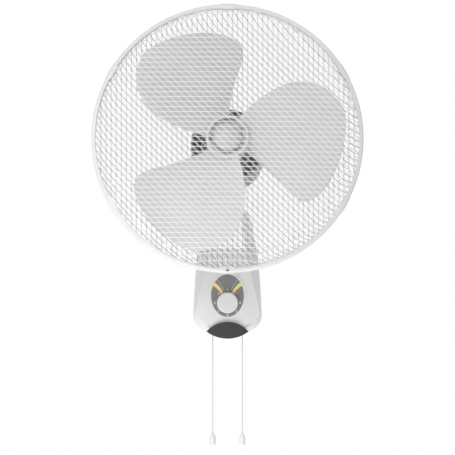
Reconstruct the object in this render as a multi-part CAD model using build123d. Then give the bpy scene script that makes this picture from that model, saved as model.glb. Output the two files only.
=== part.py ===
# Wall-mounted oscillating fan with two pull cords.
# Millimetres, +Z up, the fan blows towards -Y. The origin is the centre of the wall plate's screw
# pattern, on the wall face. The head is drawn level about the centre of its guard ring, with the
# fan axis along Y, and is then carried to the tilt bolt and turned up to its resting angle.
from build123d import *
import os
from math import atan2, cos, degrees, hypot, radians, sin, sqrt

# ---- driving dimensions -------------------------------------------------------------------------
running_gap = 0.05        # radial clearance of a turning or sliding fit
free_gap = 0.3            # clearance between pieces that pass each other

# guard ring and the two mesh grilles
guard_od = 453.0
ring_wall = 1.8
ring_depth = 15.0
ring_lip = 5.5            # how far the ring's two lips reach in over the grille rims
rim_width = 7.2           # flat steel band round each grille
rim_thickness = 2.6
mesh_pitch = 8.44
wire_size = 1.5           # wires are drawn three-sided, in a circle of this diameter
layer_step = 4.3          # the inner layer of wires is this much shallower than the outer one
foot_step = 2.4           # and its feet stand this much further in
wall_lean = 17.0          # how far the wall of a grille leans in from its rim to its shoulder
front_depth = 66.0        # crown of the front grille, ahead of the ring plane
rear_depth = 56.0
crown_rise = 9.0          # rise of a grille's crown over its shoulder
clip_count = 6
clip_length = 29.0
clip_wall = 0.9

# impeller
blade_count = 3
sweep_radius = 200.0
blade_thickness = 2.0
hub_radius = 36.0
hub_front = 21.0
hub_back = 24.0
hub_wall = 2.6
hub_lip = 5.0
hub_web = 10.0            # the hub's front web lies this far ahead of the ring plane
boss_radius = 12.0
spinner_radius = 16.0
spinner_length = 18.0
spinner_round = 4.0       # rounding of its nose
shaft_radius = 4.0

# motor
motor_radius = 61.0
motor_wall = 2.3
motor_front = 60.0        # front face of the motor, behind the ring plane
front_cover_depth = 24.0
rear_cover_depth = 108.0
neck_boss_radius = 14.0   # threaded boss that carries the rear grille
neck_boss_length = 11.0
guard_plate_radius = 44.0
guard_plate_wall = 1.6
guard_nut_radius = 25.0
guard_nut_depth = 8.0
bearing_radius = 11.0
bearing_length = 7.0
bolt_clear = 3.2          # from the cover's wall to the four through bolts
core_length = 28.0
core_radius = 24.0
air_gap = 0.6
vent_count = 8

# head joints
tilt_up = 10.0            # resting tilt of the head above level
yaw_back = 160.0          # yaw pin behind the ring plane
pivot_drop = 80.0         # tilt bolt under the fan axis
pivot_forward = 105.0     # tilt bolt ahead of the wall
pivot_height = 154.0      # tilt bolt above the origin
pin_radius = 5.0
bush_radius = 8.0
swivel_top = 44.0         # top of the swivel bearing under the fan axis
swivel_depth = 20.0
tilt_bolt_radius = 4.0
lug_radius = 13.0
lug_width = 24.0
ear_radius = 14.0
ear_thickness = 3.0
swing_arm = 17.0          # anchor pin from the yaw pin
swing_reach = 40.0        # oscillation each way
link_length = 30.0
swing_motor_radius = 15.0

# wall box
box_top = 77.0
box_bottom = 73.0
box_depth = 92.0
box_split = 38.0          # the two halves meet this far from the wall
box_half_top = 48.5       # half widths of the box and the neck where they meet
front_half_top = 28.8
box_half_wide = 57.4      # and at the hip
front_half_wide = 53.6
box_hip = -32.0           # the box is widest here, and its belly starts
side_bow = 1.6            # its sides bow out by this much
box_wall = 2.2
wall_clear = 0.5          # the box stands this far off the wall
back_wall_front = 4.8
back_wall_back = 2.3
plate_width = 84.0
plate_height = 110.0
plate_thickness = 2.0
hole_spacing_x = 60.0
hole_spacing_z = 84.0
hole_radius = 2.75
hook_spread = 28.0
dial_radius = 17.7
dial_height = 6.4
dial_drop = 13.7
trim_half_width = 35.4
trim_rise = 27.0          # crest and corners of the trim over the bottom of the box
trim_corner_rise = 10.8
trim_hang = 1.2           # how far it hangs under the box
trim_wrap = 11.5          # and how far back it wraps
trim_stand = 5.0          # and how far it stands ahead of the box
trim_crown = 170.0
label_half_width = 27.5
label_half_height = 35.7
label_drop = 1.9
label_thickness = 0.8
bezel_width = 3.0
bezel_height = 1.0
cord_spread = 24.8        # each pull cord from the centre plane
cord_setback = 17.0       # and behind the front of the box
cord_radius = 0.75
cord_rise = 27.0          # the cords start this far over the bottom of the box
cord_bottom = 233.0
pull_knob_radius = 4.75
pull_knob_length = 20.0
plunger_radius = 2.5
plunger_length = 22.0
eyelet_rise = 15.0        # top of the cord eyelets over the bottom of the box
eyelet_length = 7.0
gland_flange = 1.2

guard_radius = guard_od / 2
half_ring = ring_depth / 2
rim_outer = guard_radius - ring_wall - 1.0
rim_inner = rim_outer - rim_width
wire_rim = guard_radius - ring_lip - 1.2
grille_seat = ring_depth / 2 - ring_wall
motor_split = motor_front + front_cover_depth
motor_back = motor_split + rear_cover_depth
cord_forward = box_depth - cord_setback
cord_top = box_bottom - cord_rise
trim_drop = box_bottom - trim_corner_rise

parts = {}


# ---- helpers ------------------------------------------------------------------------------------
def turned(*points):
    """A solid of revolution about the fan axis, from (radius, y) corners."""
    return revolve(make_face(Polyline(*points, close=True)), Axis.Y)


def sleeve(outer, inner, front, back):
    return turned((inner, front), (outer, front), (outer, back), (inner, back))


def rod_z(radius, low, high, x=0.0, y=0.0):
    return Pos(x, y, (low + high) / 2) * Cylinder(radius, high - low)


def rod_x(radius, low, high, y=0.0, z=0.0):
    return Pos((low + high) / 2, y, z) * Rot(0, 90, 0) * Cylinder(radius, high - low)


def rod_y(radius, low, high, x=0.0, z=0.0):
    return Pos(x, (low + high) / 2, z) * Rot(90, 0, 0) * Cylinder(radius, high - low)


def block(x_range, y_range, z_range):
    """A box from its lowest and highest corner on each axis."""
    spans = (x_range, y_range, z_range)
    middle = [(low + high) / 2 for low, high in spans]
    return Pos(*middle) * Box(*[high - low for low, high in spans])


def side_plate(points, low, high):
    """A plate square to X, from (y, z) corners."""
    face = make_face(Polyline(*[(0, y, z) for y, z in points], close=True))
    return Pos(low, 0, 0) * extrude(face, high - low, dir=(1, 0, 0))


def group(solids):
    return Compound(children=list(solids))


def one_solid(shape):
    solids = shape.solids()
    assert len(solids) == 1, len(solids)
    return solids[0]


head_place = (
    Location((0, -pivot_forward, pivot_height), (-tilt_up, 0, 0))
    * Location((0, -yaw_back, pivot_drop))
)


def in_head(shape):
    return head_place * shape


# ---- guard --------------------------------------------------------------------------------------
def grille_bends(depth, inner):
    """(radius, height) of a grille's rim, mid wall and shoulder. inner is 1 for its inner layer."""
    foot = wire_rim - inner * foot_step
    shoulder = depth - crown_rise - inner * layer_step
    return [
        (foot, grille_seat),
        (foot - wall_lean / 2, (grille_seat + shoulder) / 2),
        (foot - wall_lean, shoulder),
    ]


def grille_height(radius, bends):
    """Height of a grille's surface over the ring plane at a radius."""
    (outer, low), (edge, shoulder) = bends[0], bends[-1]
    if radius <= edge:
        return shoulder + crown_rise * (1 - (radius / edge) ** 2)
    return low + (shoulder - low) * (outer - radius) / (outer - edge)


def wire_line(offset, bends):
    """(along, height) bends of the wire that runs at an offset from the grille's centre."""
    across = abs(offset)
    near_edge = across > bends[-1][0] * 0.9
    half = []
    for radius, height in bends if near_edge else (bends[0], bends[-1]):
        if radius > across + 2:
            half.append((sqrt(radius**2 - offset**2), height))
    if len(half) == 1:
        along = half[0][0] / 2
        half.append((along, grille_height(hypot(along, offset), bends)))
    (foot, low), (bend, high) = half[:2]
    half[0] = (foot + (foot - bend) * 0.2, low + (low - high) * 0.2)
    left = [(-along, height) for along, height in half]
    return left + [(0.0, grille_height(across, bends))] + half[::-1]


def grille_wires(depth, inner, angle, side):
    """One layer of parallel wires. angle turns the layer about the fan axis; side is -1 in front."""
    bends = grille_bends(depth, inner)
    reach = int((bends[0][0] - wire_size * 2) // mesh_pitch)
    rim_plane = Plane(origin=(0, side * grille_seat, 0), z_dir=(0, side, 0))
    wires = []
    for step in range(-reach, reach + 1):
        offset = step * mesh_pitch
        corners = [(along, side * height, offset) for along, height in wire_line(offset, bends)]
        path = Polyline(*corners)
        section = Plane(origin=path @ 0, x_dir=(0, 0, 1), z_dir=path % 0)
        wire = sweep(section * RegularPolygon(wire_size / 2, 3), path, transition=Transition.RIGHT)
        wires.append(Rot(0, angle, 0) * split(wire, rim_plane, keep=Keep.TOP))
    return [solid for wire in wires for solid in wire.solids()]


def grille_rim(side):
    outer_face = side * grille_seat
    inner_face = side * (grille_seat - rim_thickness)
    return sleeve(rim_outer, rim_inner, min(outer_face, inner_face), max(outer_face, inner_face))


parts["front_guard_horizontal_wires"] = in_head(
    group(grille_wires(front_depth, 0, 0, -1)))
parts["front_guard_diagonal_wires"] = in_head(
    group(grille_wires(front_depth, 1, 45, -1)))
parts["front_guard_rim"] = in_head(grille_rim(-1))

plate_front = motor_front - guard_plate_wall
plate_flange_front = rear_depth - layer_step - 2 * wire_size
plate_space = rod_y(guard_plate_radius, plate_flange_front - 5, motor_front + 5)
for name, inner, angle in (
    ("rear_guard_vertical_wires", 0, 90),
    ("rear_guard_diagonal_wires", 1, 45),
):
    cut_wires = []
    for rear_wire in grille_wires(rear_depth, inner, angle, 1):
        near = rear_wire.distance_to(Vector(0, motor_front, 0)) < guard_plate_radius + 5
        cut_wires += (rear_wire - plate_space).solids() if near else [rear_wire]
    parts[name] = in_head(group(cut_wires))
parts["rear_guard_rim"] = in_head(grille_rim(1))

parts["rear_guard_plate"] = in_head(turned(
    (neck_boss_radius, plate_front),
    (guard_plate_radius - guard_plate_wall, plate_front),
    (guard_plate_radius - guard_plate_wall, plate_flange_front),
    (guard_plate_radius, plate_flange_front),
    (guard_plate_radius, motor_front),
    (neck_boss_radius, motor_front),
))
parts["rear_guard_nut"] = in_head(
    sleeve(guard_nut_radius, neck_boss_radius, plate_front - guard_nut_depth, plate_front))

ring_channel = turned(
    (guard_radius - ring_lip, -half_ring),
    (guard_radius - ring_wall, -half_ring),
    (guard_radius, -half_ring + ring_wall),
    (guard_radius, half_ring - ring_wall),
    (guard_radius - ring_wall, half_ring),
    (guard_radius - ring_lip, half_ring),
    (guard_radius - ring_lip, half_ring - ring_wall),
    (rim_outer, half_ring - ring_wall),
    (rim_outer, -half_ring + ring_wall),
    (guard_radius - ring_lip, -half_ring + ring_wall),
)


def ring_clip(angle):
    """A saddle that snaps over the ring and holds its lips together."""
    lip_reach, corner = guard_radius - ring_lip, guard_radius - ring_wall
    outside, across = guard_radius + clip_wall, half_ring + clip_wall
    section = make_face(Polyline(
        (lip_reach, -across), (outside - 1.5, -across), (outside, -across + 1.5),
        (outside, across - 1.5), (outside - 1.5, across), (lip_reach, across),
        (lip_reach, half_ring), (corner, half_ring), (guard_radius, half_ring - ring_wall),
        (guard_radius, -half_ring + ring_wall), (corner, -half_ring), (lip_reach, -half_ring),
        close=True))
    turn = degrees(clip_length / guard_radius)
    return Rot(0, -turn / 2 - angle, 0) * revolve(section, Axis.Y, turn)


# the clip at the bottom also takes the ring's closing screw
screw_place = guard_radius - ring_lip * 0.42
ring_screw = rod_y(1.2, -half_ring - clip_wall, -half_ring + ring_wall, 0, -screw_place)
clips = [ring_clip(90 + 360 / clip_count * step) for step in range(clip_count)]
clips[clip_count // 2] -= ring_screw
parts["guard_ring"] = in_head(ring_channel - ring_screw)
parts["guard_clips"] = in_head(group(clips))
screw_head = extrude(Plane.XZ * SlotOverall(5.4, 3.2), 1.6, dir=(0, -1, 0))
screw_head = Pos(0, -half_ring - clip_wall, -screw_place) * screw_head
parts["guard_ring_screw"] = in_head(ring_screw + screw_head)

# ---- impeller -----------------------------------------------------------------------------------
# (share of the sweep, angle) of one blade's outline seen from the front, anticlockwise from +X
blade_outline = (
    (0.35, 52), (0.555, 45.5), (0.75, 38), (0.9, 28), (0.98, 18), (0.9995, 10), (0.97, -3),
    (0.935, -17), (0.895, -29), (0.83, -37.5), (0.7, -40), (0.5, -37), (0.3, -34),
)
blade_roots = ((hub_radius - 6, 62), (hub_radius - 8, -38))
blade_pitch = 15.0        # fall of a blade per radian of turn, near the axis
blade_pitch_gain = 0.17   # and how it grows per millimetre of radius
blade_trim = 4.0          # degrees from a blade's middle line to the ring plane


def blade_fall(x, z):
    """How far behind the ring plane a blade's surface lies."""
    turn = atan2(z, x) - radians(blade_trim)
    return -(blade_pitch + blade_pitch_gain * hypot(x, z)) * turn


def blade():
    across = [boss_radius + (sweep_radius + 8 - boss_radius) * i / 6 for i in range(7)]
    upright = [sweep_radius * 0.22 * i for i in range(-3, 4)]
    grid = [[Vector(x, blade_fall(x, z), z) for z in upright] for x in across]
    sheet = Solid.thicken(Face.make_surface_from_array_of_points(grid), blade_thickness)
    reach = [(share * sweep_radius, angle) for share, angle in blade_outline]
    outline = [blade_roots[0], *reach, blade_roots[1]]
    corners = [(r * cos(radians(a)), r * sin(radians(a))) for r, a in outline]
    edge = Spline(*[(x, 0, z) for x, z in corners])
    root = Line(edge @ 1, edge @ 0)
    prism = extrude(make_face([edge, root]), 90, dir=(0, 1, 0), both=True)
    return one_solid((sheet & prism) - rod_y(hub_radius - 1, -90, 90))


hub = turned(
    (shaft_radius, -hub_web - 4),
    (boss_radius, -hub_web - 4),
    (boss_radius, -hub_web),
    (hub_radius - hub_lip, -hub_web),
    (hub_radius - hub_lip, -hub_front),
    (hub_radius, -hub_front),
    (hub_radius, hub_back),
    (hub_radius - hub_wall, hub_back),
    (hub_radius - hub_wall, -hub_web + hub_wall),
    (boss_radius, -hub_web + hub_wall),
    (boss_radius, hub_back + 2),
    (shaft_radius, hub_back + 2),
)
one_blade = blade()
impeller = hub
for index in range(blade_count):
    impeller += Rot(0, -360 / blade_count * index, 0) * one_blade
parts["impeller"] = in_head(one_solid(impeller))

spinner_back = -hub_web - 4
spinner_front = spinner_back - spinner_length
shaft_front = spinner_front + 2 * spinner_round
parts["spinner_nut"] = in_head(turned(
    (0, spinner_front),
    (spinner_radius - 1.25 * spinner_round, spinner_front),
    (spinner_radius - 0.25 * spinner_round, spinner_front + spinner_round),
    (spinner_radius, spinner_front + 2.5 * spinner_round),
    (spinner_radius - 2, spinner_back),
    (shaft_radius, spinner_back),
    (shaft_radius, shaft_front),
    (0, shaft_front),
))

# ---- motor --------------------------------------------------------------------------------------
cover_inside = motor_radius - motor_wall
front_bearing = motor_front + 4
bell_front = motor_split + 26
bell_back = bell_front + 3
rear_bearing = bell_front - 4
core_front = motor_front + 16
core_back = core_front + core_length
shaft_back = rear_bearing + bearing_length + 1

parts["motor_shaft"] = in_head(rod_y(shaft_radius, shaft_front, shaft_back))
parts["rotor_core"] = in_head(sleeve(core_radius, shaft_radius, core_front, core_back))
parts["shaft_bearings"] = in_head(group(
    sleeve(bearing_radius, shaft_radius + running_gap, front, front + bearing_length)
    for front in (front_bearing, rear_bearing)))

front_cover = turned(
    (shaft_radius + 1, motor_front - neck_boss_length),
    (neck_boss_radius, motor_front - neck_boss_length),
    (neck_boss_radius, motor_front),
    (motor_radius - 4, motor_front),
    (motor_radius, motor_front + 4),
    (motor_radius, motor_split),
    (cover_inside, motor_split),
    (cover_inside, motor_front + motor_wall),
    (bearing_radius + 4, motor_front + motor_wall),
    (bearing_radius + 4, front_bearing + bearing_length),
    (bearing_radius, front_bearing + bearing_length),
    (bearing_radius, front_bearing),
    (shaft_radius + 1, front_bearing),
)
for index in range(vent_count):
    slot = block((motor_radius - 16, motor_radius - 5),
                 (motor_front - 1, motor_front + motor_wall + 1), (-3, 3))
    front_cover -= Rot(0, 360 / vent_count * (index + 0.5), 0) * slot
parts["motor_front_cover"] = in_head(one_solid(front_cover))

swivel_space = rod_z(swing_arm + 5, -motor_radius - 10, -30, y=yaw_back)
rear_cover = turned(
    (motor_radius, motor_split),
    (motor_radius, motor_back - 22),
    (motor_radius - 7, motor_back - 7),
    (motor_radius - 23, motor_back),
    (0, motor_back),
    (0, motor_back - motor_wall),
    (motor_radius - 23.5, motor_back - motor_wall),
    (motor_radius - 8.8, motor_back - 8.6),
    (cover_inside, motor_back - 22.5),
    (cover_inside, motor_split),
) - swivel_space
for index in range(5):
    height = (index - 2) * 9
    rear_cover -= block((-24, 24), (motor_back - 10, motor_back + 1), (height - 2, height + 2))
parts["motor_rear_cover"] = in_head(one_solid(rear_cover))

through_bolt_radius = 2.2
core_corner = 9.0         # the core's corners are cut back to clear the through bolts
bolt_offset = (cover_inside - bolt_clear - through_bolt_radius) / sqrt(2)
bolt_places = [(x, z) for x in (-bolt_offset, bolt_offset) for z in (-bolt_offset, bolt_offset)]
half_core = bolt_offset - through_bolt_radius + core_corner / 2
stator = block((-half_core, half_core), (core_front, core_back), (-half_core, half_core))
stator = chamfer(stator.edges().filter_by(Axis.Y), core_corner)
stator -= rod_y(core_radius + air_gap, core_front - 1, core_back + 1)
parts["stator_core"] = in_head(one_solid(stator))


def coil(front, back):
    ring = Plane.XZ * (RegularPolygon(half_core - 1, 8) - RegularPolygon(core_radius + 5, 8))
    return Pos(0, front, 0) * extrude(ring, back - front, dir=(0, 1, 0))


parts["stator_coils"] = in_head(group(
    [coil(core_front - 6, core_front), coil(core_back, core_back + 5)]))
bolt_section = Plane.XZ * RegularPolygon(through_bolt_radius, 6)
parts["motor_through_bolts"] = in_head(group(
    Pos(x, motor_front + motor_wall, z)
    * extrude(bolt_section, bell_front - motor_front - motor_wall, dir=(0, 1, 0))
    for x, z in bolt_places))

boss_bottom = -swivel_top + free_gap
arm_top = -17.0
arm_bottom = -21.0
bell_half = bolt_offset + through_bolt_radius + 1.1
bell = block((-bell_half, bell_half), (bell_front, bell_back), (-bell_half, bell_half))
bell += rod_y(bearing_radius + 3, rear_bearing, bell_back)
bell += block((-15, 15), (bell_back, yaw_back), (arm_bottom, arm_top))
bell += rod_z(bush_radius, boss_bottom, arm_top, y=yaw_back)
bell -= rod_y(bearing_radius, rear_bearing - 2, rear_bearing + bearing_length)
bell -= rod_y(shaft_radius + 1, rear_bearing, bell_back + 1)
bell -= rod_z(pin_radius, boss_bottom - 1, arm_top + 1, y=yaw_back)
parts["motor_end_bell"] = in_head(one_solid(bell))

swivel_bottom = -swivel_top - swivel_depth
parts["yaw_pin"] = in_head(rod_z(pin_radius, swivel_bottom + 0.5, arm_top, y=yaw_back))

# oscillation drive: a small geared motor turns a crank, and a link pulls on the swivel bracket.
# The link turns on the bracket's anchor pin; the crank pin stops just short of the link's eye.
crank_throw = swing_arm * sin(radians(swing_reach))
crank_x = -swing_arm + crank_throw
crank_y = yaw_back - link_length
pivot_pin_radius = 2.0
link_bottom = -swivel_top + free_gap
link_top = link_bottom + 2.0
crank_bottom = link_top + 3.0
crank_top = crank_bottom + 2.4
swing_shaft_radius = 2.5
can_bottom = crank_top + free_gap
can = rod_z(swing_motor_radius, can_bottom, arm_bottom, crank_x, crank_y)
can -= rod_z(swing_shaft_radius + running_gap, can_bottom - 1, can_bottom + 8, crank_x, crank_y)
parts["swing_motor"] = in_head(one_solid(can))
crank = block(
    (-swing_arm - 4, crank_x + 4), (crank_y - 4, crank_y + 4), (crank_bottom, crank_top))
crank += rod_z(swing_shaft_radius, crank_bottom, can_bottom + 7, crank_x, crank_y)
crank += rod_z(pivot_pin_radius, link_top + 0.5, crank_top, -swing_arm, crank_y)
parts["swing_crank"] = in_head(one_solid(crank))
link = block((-swing_arm - 4, -swing_arm + 4), (crank_y - 4, yaw_back + 4), (link_bottom, link_top))
for y in (crank_y, yaw_back):
    link -= rod_z(pivot_pin_radius + running_gap, link_bottom - 1, link_top + 1, -swing_arm, y)
parts["swing_link"] = in_head(one_solid(link))

# ---- swivel bracket -----------------------------------------------------------------------------
bracket = rod_z(swing_arm + 3.5, -swivel_top - 3.5, -swivel_top, y=yaw_back)
bracket += rod_z(12, swivel_bottom - 4, -swivel_top, y=yaw_back)
bracket += rod_x(lug_radius, -lug_width / 2, lug_width / 2, yaw_back, -pivot_drop)
bracket += block(
    (-lug_width / 2, lug_width / 2), (yaw_back - 11, yaw_back + 11),
    (-pivot_drop, swivel_bottom))
bracket += rod_z(pivot_pin_radius, -swivel_top - 1, link_top + 0.5, -swing_arm, yaw_back)
bracket -= rod_z(bush_radius, swivel_bottom, -swivel_top + 1, y=yaw_back)
bracket -= rod_x(
    tilt_bolt_radius + running_gap, -lug_width, lug_width, yaw_back, -pivot_drop)
parts["swivel_bracket"] = in_head(one_solid(bracket))
bush = rod_z(bush_radius, swivel_bottom, -swivel_top, y=yaw_back)
bush -= rod_z(pin_radius + running_gap, swivel_bottom - 1, -swivel_top + 1, y=yaw_back)
parts["swivel_bush"] = in_head(one_solid(bush))

# ---- neck ---------------------------------------------------------------------------------------
ear_inside = lug_width / 2 + free_gap
ear_outside = ear_inside + ear_thickness
bolt_half = ear_outside + 6
tilt_bolt = rod_x(tilt_bolt_radius, -bolt_half, bolt_half, -pivot_forward, pivot_height)
hexagon = extrude(Plane.YZ * RegularPolygon(7.5, 6), 5)
parts["tilt_bolt"] = (
    rod_x(tilt_bolt_radius, -ear_outside, bolt_half, -pivot_forward, pivot_height)
    + Pos(-ear_outside - 5, -pivot_forward, pivot_height) * hexagon)
nut = Pos(ear_outside, -pivot_forward, pivot_height) * hexagon
parts["tilt_nut"] = nut - tilt_bolt

arm_back = ((-pivot_forward + 27, pivot_height - 24), (-21, box_top), (-back_wall_front, 45))
arm_profile = (
    (-back_wall_front, -45), (-30, -45), (-50, box_top - 17), (-pivot_forward - 6, pivot_height - 30),
    (-pivot_forward - 13.4, pivot_height - 4), (-pivot_forward, pivot_height),
    (-pivot_forward + 13.4, pivot_height - 4), *arm_back,
)
arm = None
for low in (-ear_outside, ear_inside):
    cheek = side_plate(arm_profile, low, low + ear_thickness)
    cheek += rod_x(ear_radius, low, low + ear_thickness, -pivot_forward, pivot_height)
    cheek -= rod_x(tilt_bolt_radius, low - 1, low + ear_thickness + 1, -pivot_forward, pivot_height)
    arm = cheek if arm is None else arm + cheek
web_profile = ((-back_wall_front, -45), (-back_wall_front - 3, -45), (-back_wall_front - 3, 44),
               (-23.2, box_top - 2.2), (-pivot_forward + 25, pivot_height - 26.2), *arm_back)
arm += side_plate(web_profile, -ear_inside, ear_inside)
parts["neck_arm"] = one_solid(arm)

neck_top = pivot_height - 11.0
neck_sections = (
    # height, back, full width from here on, front, half width, half width of the front facet
    (box_top, 10.0, box_split, box_depth, box_half_top, front_half_top),
    (pivot_height - 24.0, pivot_forward - 37.0, pivot_forward - 5.0, pivot_forward + 25.0, 38.0, 25.0),
    (neck_top, pivot_forward - 25.0, pivot_forward, pivot_forward + 19.0, 28.0, 19.0),
)
neck_back_cut = 10.0
neck_slot = ear_outside + 1.7
neck_split_low, neck_split_high = 50.0, pivot_forward - 3.0


def neck_section(height, back, wide_from, front, half, facet, inset):
    """An eight-sided ring of the neck, with the corners cut back to the facets."""
    side, face, rear = half - inset, facet - inset / 2, -back - inset
    corners = ((face, -front + inset), (side, -wide_from), (side, rear - neck_back_cut),
               (side - neck_back_cut, rear))
    mirrored = [(-x, y) for x, y in reversed(corners)]
    return make_face(Polyline(*[(x, y, height) for x, y in (*corners, *mirrored)], close=True))


def neck_shape(inset):
    rings = [neck_section(*section, inset) for section in neck_sections]
    if inset:
        low, high = neck_sections[0], neck_sections[-1]
        rings[0] = neck_section(*low, inset)
        rings[-1] = neck_section(high[0] - inset, *high[1:], inset)
    return loft(rings, ruled=True)


neck = neck_shape(0) - neck_shape(box_wall)
neck -= block((-neck_slot, neck_slot), (-pivot_forward - 17, -pivot_forward + 22),
              (neck_top - 5, neck_top + 5))
neck_rise, neck_run = neck_top - box_top, neck_split_high - neck_split_low
split_plane = Plane(origin=(0, -neck_split_low, box_top), x_dir=(1, 0, 0),
                    z_dir=(0, -neck_rise, -neck_run))
parts["neck_front_cover"] = one_solid(split(neck, split_plane, keep=Keep.TOP))
parts["neck_rear_cover"] = one_solid(split(neck, split_plane, keep=Keep.BOTTOM))

# ---- wall box -----------------------------------------------------------------------------------
def box_outline(y, half_top, half_wide, bend, turn, bottom, inset):
    """Front view of the wall box at one depth. It is bowed outside and straight inside.

    bend and turn are two points of the belly, inwards of and under the hip."""
    top, half_top, half_wide = box_top - inset, half_top - inset, half_wide - inset
    bottom = -bottom + inset
    right = (half_wide, y, box_hip)
    middle = (half_wide - bend[0] + inset * 0.2, y, box_hip - bend[1] + inset * 0.5)
    low = (half_wide - turn[0] + inset * 0.5, y, box_hip - turn[1] + inset * 0.8)
    flank = ((half_top + half_wide) / 2 + side_bow, y, (top + box_hip) / 2)
    left, left_middle, left_low, left_flank = [(-x, y, z) for x, _, z in (right, middle, low, flank)]
    if inset:
        return make_face(Polyline(
            (-half_top, y, top), (half_top, y, top), right, middle, low, (0, y, bottom),
            left_low, left_middle, left, close=True))
    return make_face([
        Line((-half_top, y, top), (half_top, y, top)),
        ThreePointArc((half_top, y, top), flank, right),
        ThreePointArc(right, middle, low),
        ThreePointArc(low, (0, y, bottom), left_low),
        ThreePointArc(left_low, left_middle, left),
        ThreePointArc(left, left_flank, (-half_top, y, top)),
    ])


def rear_outline(y, inset):
    return box_outline(
        y, box_half_top, box_half_wide, (4.4, 17.5), (19.4, 29.5), box_bottom, inset)


def front_outline(y, inset):
    return box_outline(
        y, front_half_top, front_half_wide, (8.1, 9.5), (20.6, 18.0), box_bottom - 9, inset)


rear_half = extrude(rear_outline(-wall_clear, 0), box_split - wall_clear, dir=(0, -1, 0))
rear_half -= extrude(rear_outline(-back_wall_front, box_wall), box_split, dir=(0, -1, 0))
rear_half -= extrude(rear_outline(0, box_wall), back_wall_back, dir=(0, -1, 0))
hook_low = plate_height / 2 - 6
for x in (-hook_spread, hook_spread):
    rear_half -= block((x - 8, x + 8), (-12, -1), (hook_low - 2, hook_low + 11))
arm_space = block(
    (-ear_outside - 3.7, ear_outside + 3.7), (-box_depth + 20, -14), (box_top - 6, box_top + 1))
rear_half -= arm_space
gland_place = (0.0, -20.0)
rear_half -= rod_z(6, -box_bottom - gland_flange, -box_bottom + 5, *gland_place)
parts["base_rear_housing"] = one_solid(rear_half)

box_outer = loft([rear_outline(-box_split, 0), front_outline(-box_depth, 0)], ruled=True)
box_inner = loft(
    [rear_outline(-box_split, box_wall), front_outline(-box_depth + box_wall, box_wall)], ruled=True)


def on_front(face, thickness):
    """A raised or flat piece on the front of the wall box, from a face drawn round the label."""
    return Pos(0, -box_depth, -label_drop) * extrude(Plane.XZ * face, thickness, dir=(0, -1, 0))


front_half = box_outer - box_inner - arm_space
label_oval = Ellipse(label_half_width, label_half_height)
bezel = Ellipse(label_half_width + bezel_width, label_half_height + bezel_width) - label_oval
front_half += on_front(bezel, bezel_height)
shaft_hole = rod_y(4, -box_depth - 2, -box_depth + 5, 0, -dial_drop)
front_half -= shaft_hole
eyelet_radius = 4.0
eyelet_top = -box_bottom + eyelet_rise
for x in (-cord_spread, cord_spread):
    front_half -= rod_z(eyelet_radius, -box_bottom, eyelet_top + 8, x, -cord_forward)

trim_end, trim_other_end = (-trim_half_width, -trim_drop), (trim_half_width, -trim_drop)
almond = make_face([
    ThreePointArc(trim_end, (0, -box_bottom + trim_rise), trim_other_end),
    ThreePointArc(trim_other_end, (0, -box_bottom - trim_hang), trim_end),
])
trim_front = box_depth + trim_stand
trim = extrude(Plane.XZ * almond, trim_wrap + trim_stand, dir=(0, -1, 0))
trim = Pos(0, -box_depth + trim_wrap, 0) * trim
trim &= Pos(0, trim_crown - trim_front, -trim_drop + 4) * Sphere(trim_crown)
trim -= box_outer
parts["base_front_housing"] = one_solid(front_half)
parts["base_trim"] = sorted(trim.solids(), key=lambda solid: solid.volume)[-1]
label = on_front(label_oval, label_thickness) - shaft_hole
parts["control_label"] = one_solid(label)

# ---- controls -----------------------------------------------------------------------------------
box_inside = box_depth - box_wall
dial_back = -box_depth - label_thickness - free_gap
dial_front = dial_back - dial_height
dial_shaft_radius = 3.0
dial = Pos(0, 0, -dial_drop) * turned(
    (dial_shaft_radius, dial_back),
    (dial_radius, dial_back),
    (dial_radius, dial_front + 2),
    (dial_radius - 1.8, dial_front),
    (0, dial_front),
    (0, dial_front + 3),
    (dial_shaft_radius, dial_front + 3),
)
parts["speed_dial"] = one_solid(dial)
switch_bottom = -cord_top + 2
switch_back = -cord_forward + 9
plunger_top = -cord_top + plunger_length
parts["dial_shaft"] = rod_y(dial_shaft_radius, dial_front + 3, switch_back - 4, 0, -dial_drop)


def switch(x_range, top, bore_x):
    body = block(x_range, (-box_inside, switch_back), (switch_bottom, top))
    return body - rod_z(
        plunger_radius + running_gap, switch_bottom - 1, plunger_top + 3, bore_x, -cord_forward)


speed_switch = switch((-cord_spread - 7.2, 15), 4, -cord_spread)
speed_switch -= rod_y(
    dial_shaft_radius + running_gap, -box_depth, switch_back - 3, 0, -dial_drop)
parts["speed_switch"] = one_solid(speed_switch)
parts["swing_switch"] = one_solid(switch((17.5, cord_spread + 7.2), -12, cord_spread))

knob_top = -cord_bottom
knob_end = knob_top - pull_knob_length
for name, x in (("speed", -cord_spread), ("swing", cord_spread)):
    parts[f"{name}_plunger"] = rod_z(plunger_radius, -cord_top, plunger_top, x, -cord_forward)
    parts[f"{name}_cord"] = rod_z(cord_radius, -cord_bottom, -cord_top, x, -cord_forward)
    profile = make_face(Polyline(
        (0, 0, knob_top), (1.8, 0, knob_top), (2.6, 0, knob_top - 1.5),
        (pull_knob_radius, 0, knob_top - 7), (pull_knob_radius, 0, knob_end + 1),
        (pull_knob_radius - 1, 0, knob_end), (0, 0, knob_end), close=True))
    parts[f"{name}_pull_knob"] = Pos(x, -cord_forward, 0) * revolve(profile, Axis.Z)
    eyelet_low, eyelet_high = eyelet_top - eyelet_length, eyelet_top
    eyelet = rod_z(eyelet_radius, eyelet_low, eyelet_high, x, -cord_forward)
    eyelet -= rod_z(eyelet_radius * 0.4, eyelet_low - 1, eyelet_high + 1, x, -cord_forward)
    parts[f"{name}_cord_eyelet"] = eyelet

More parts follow.
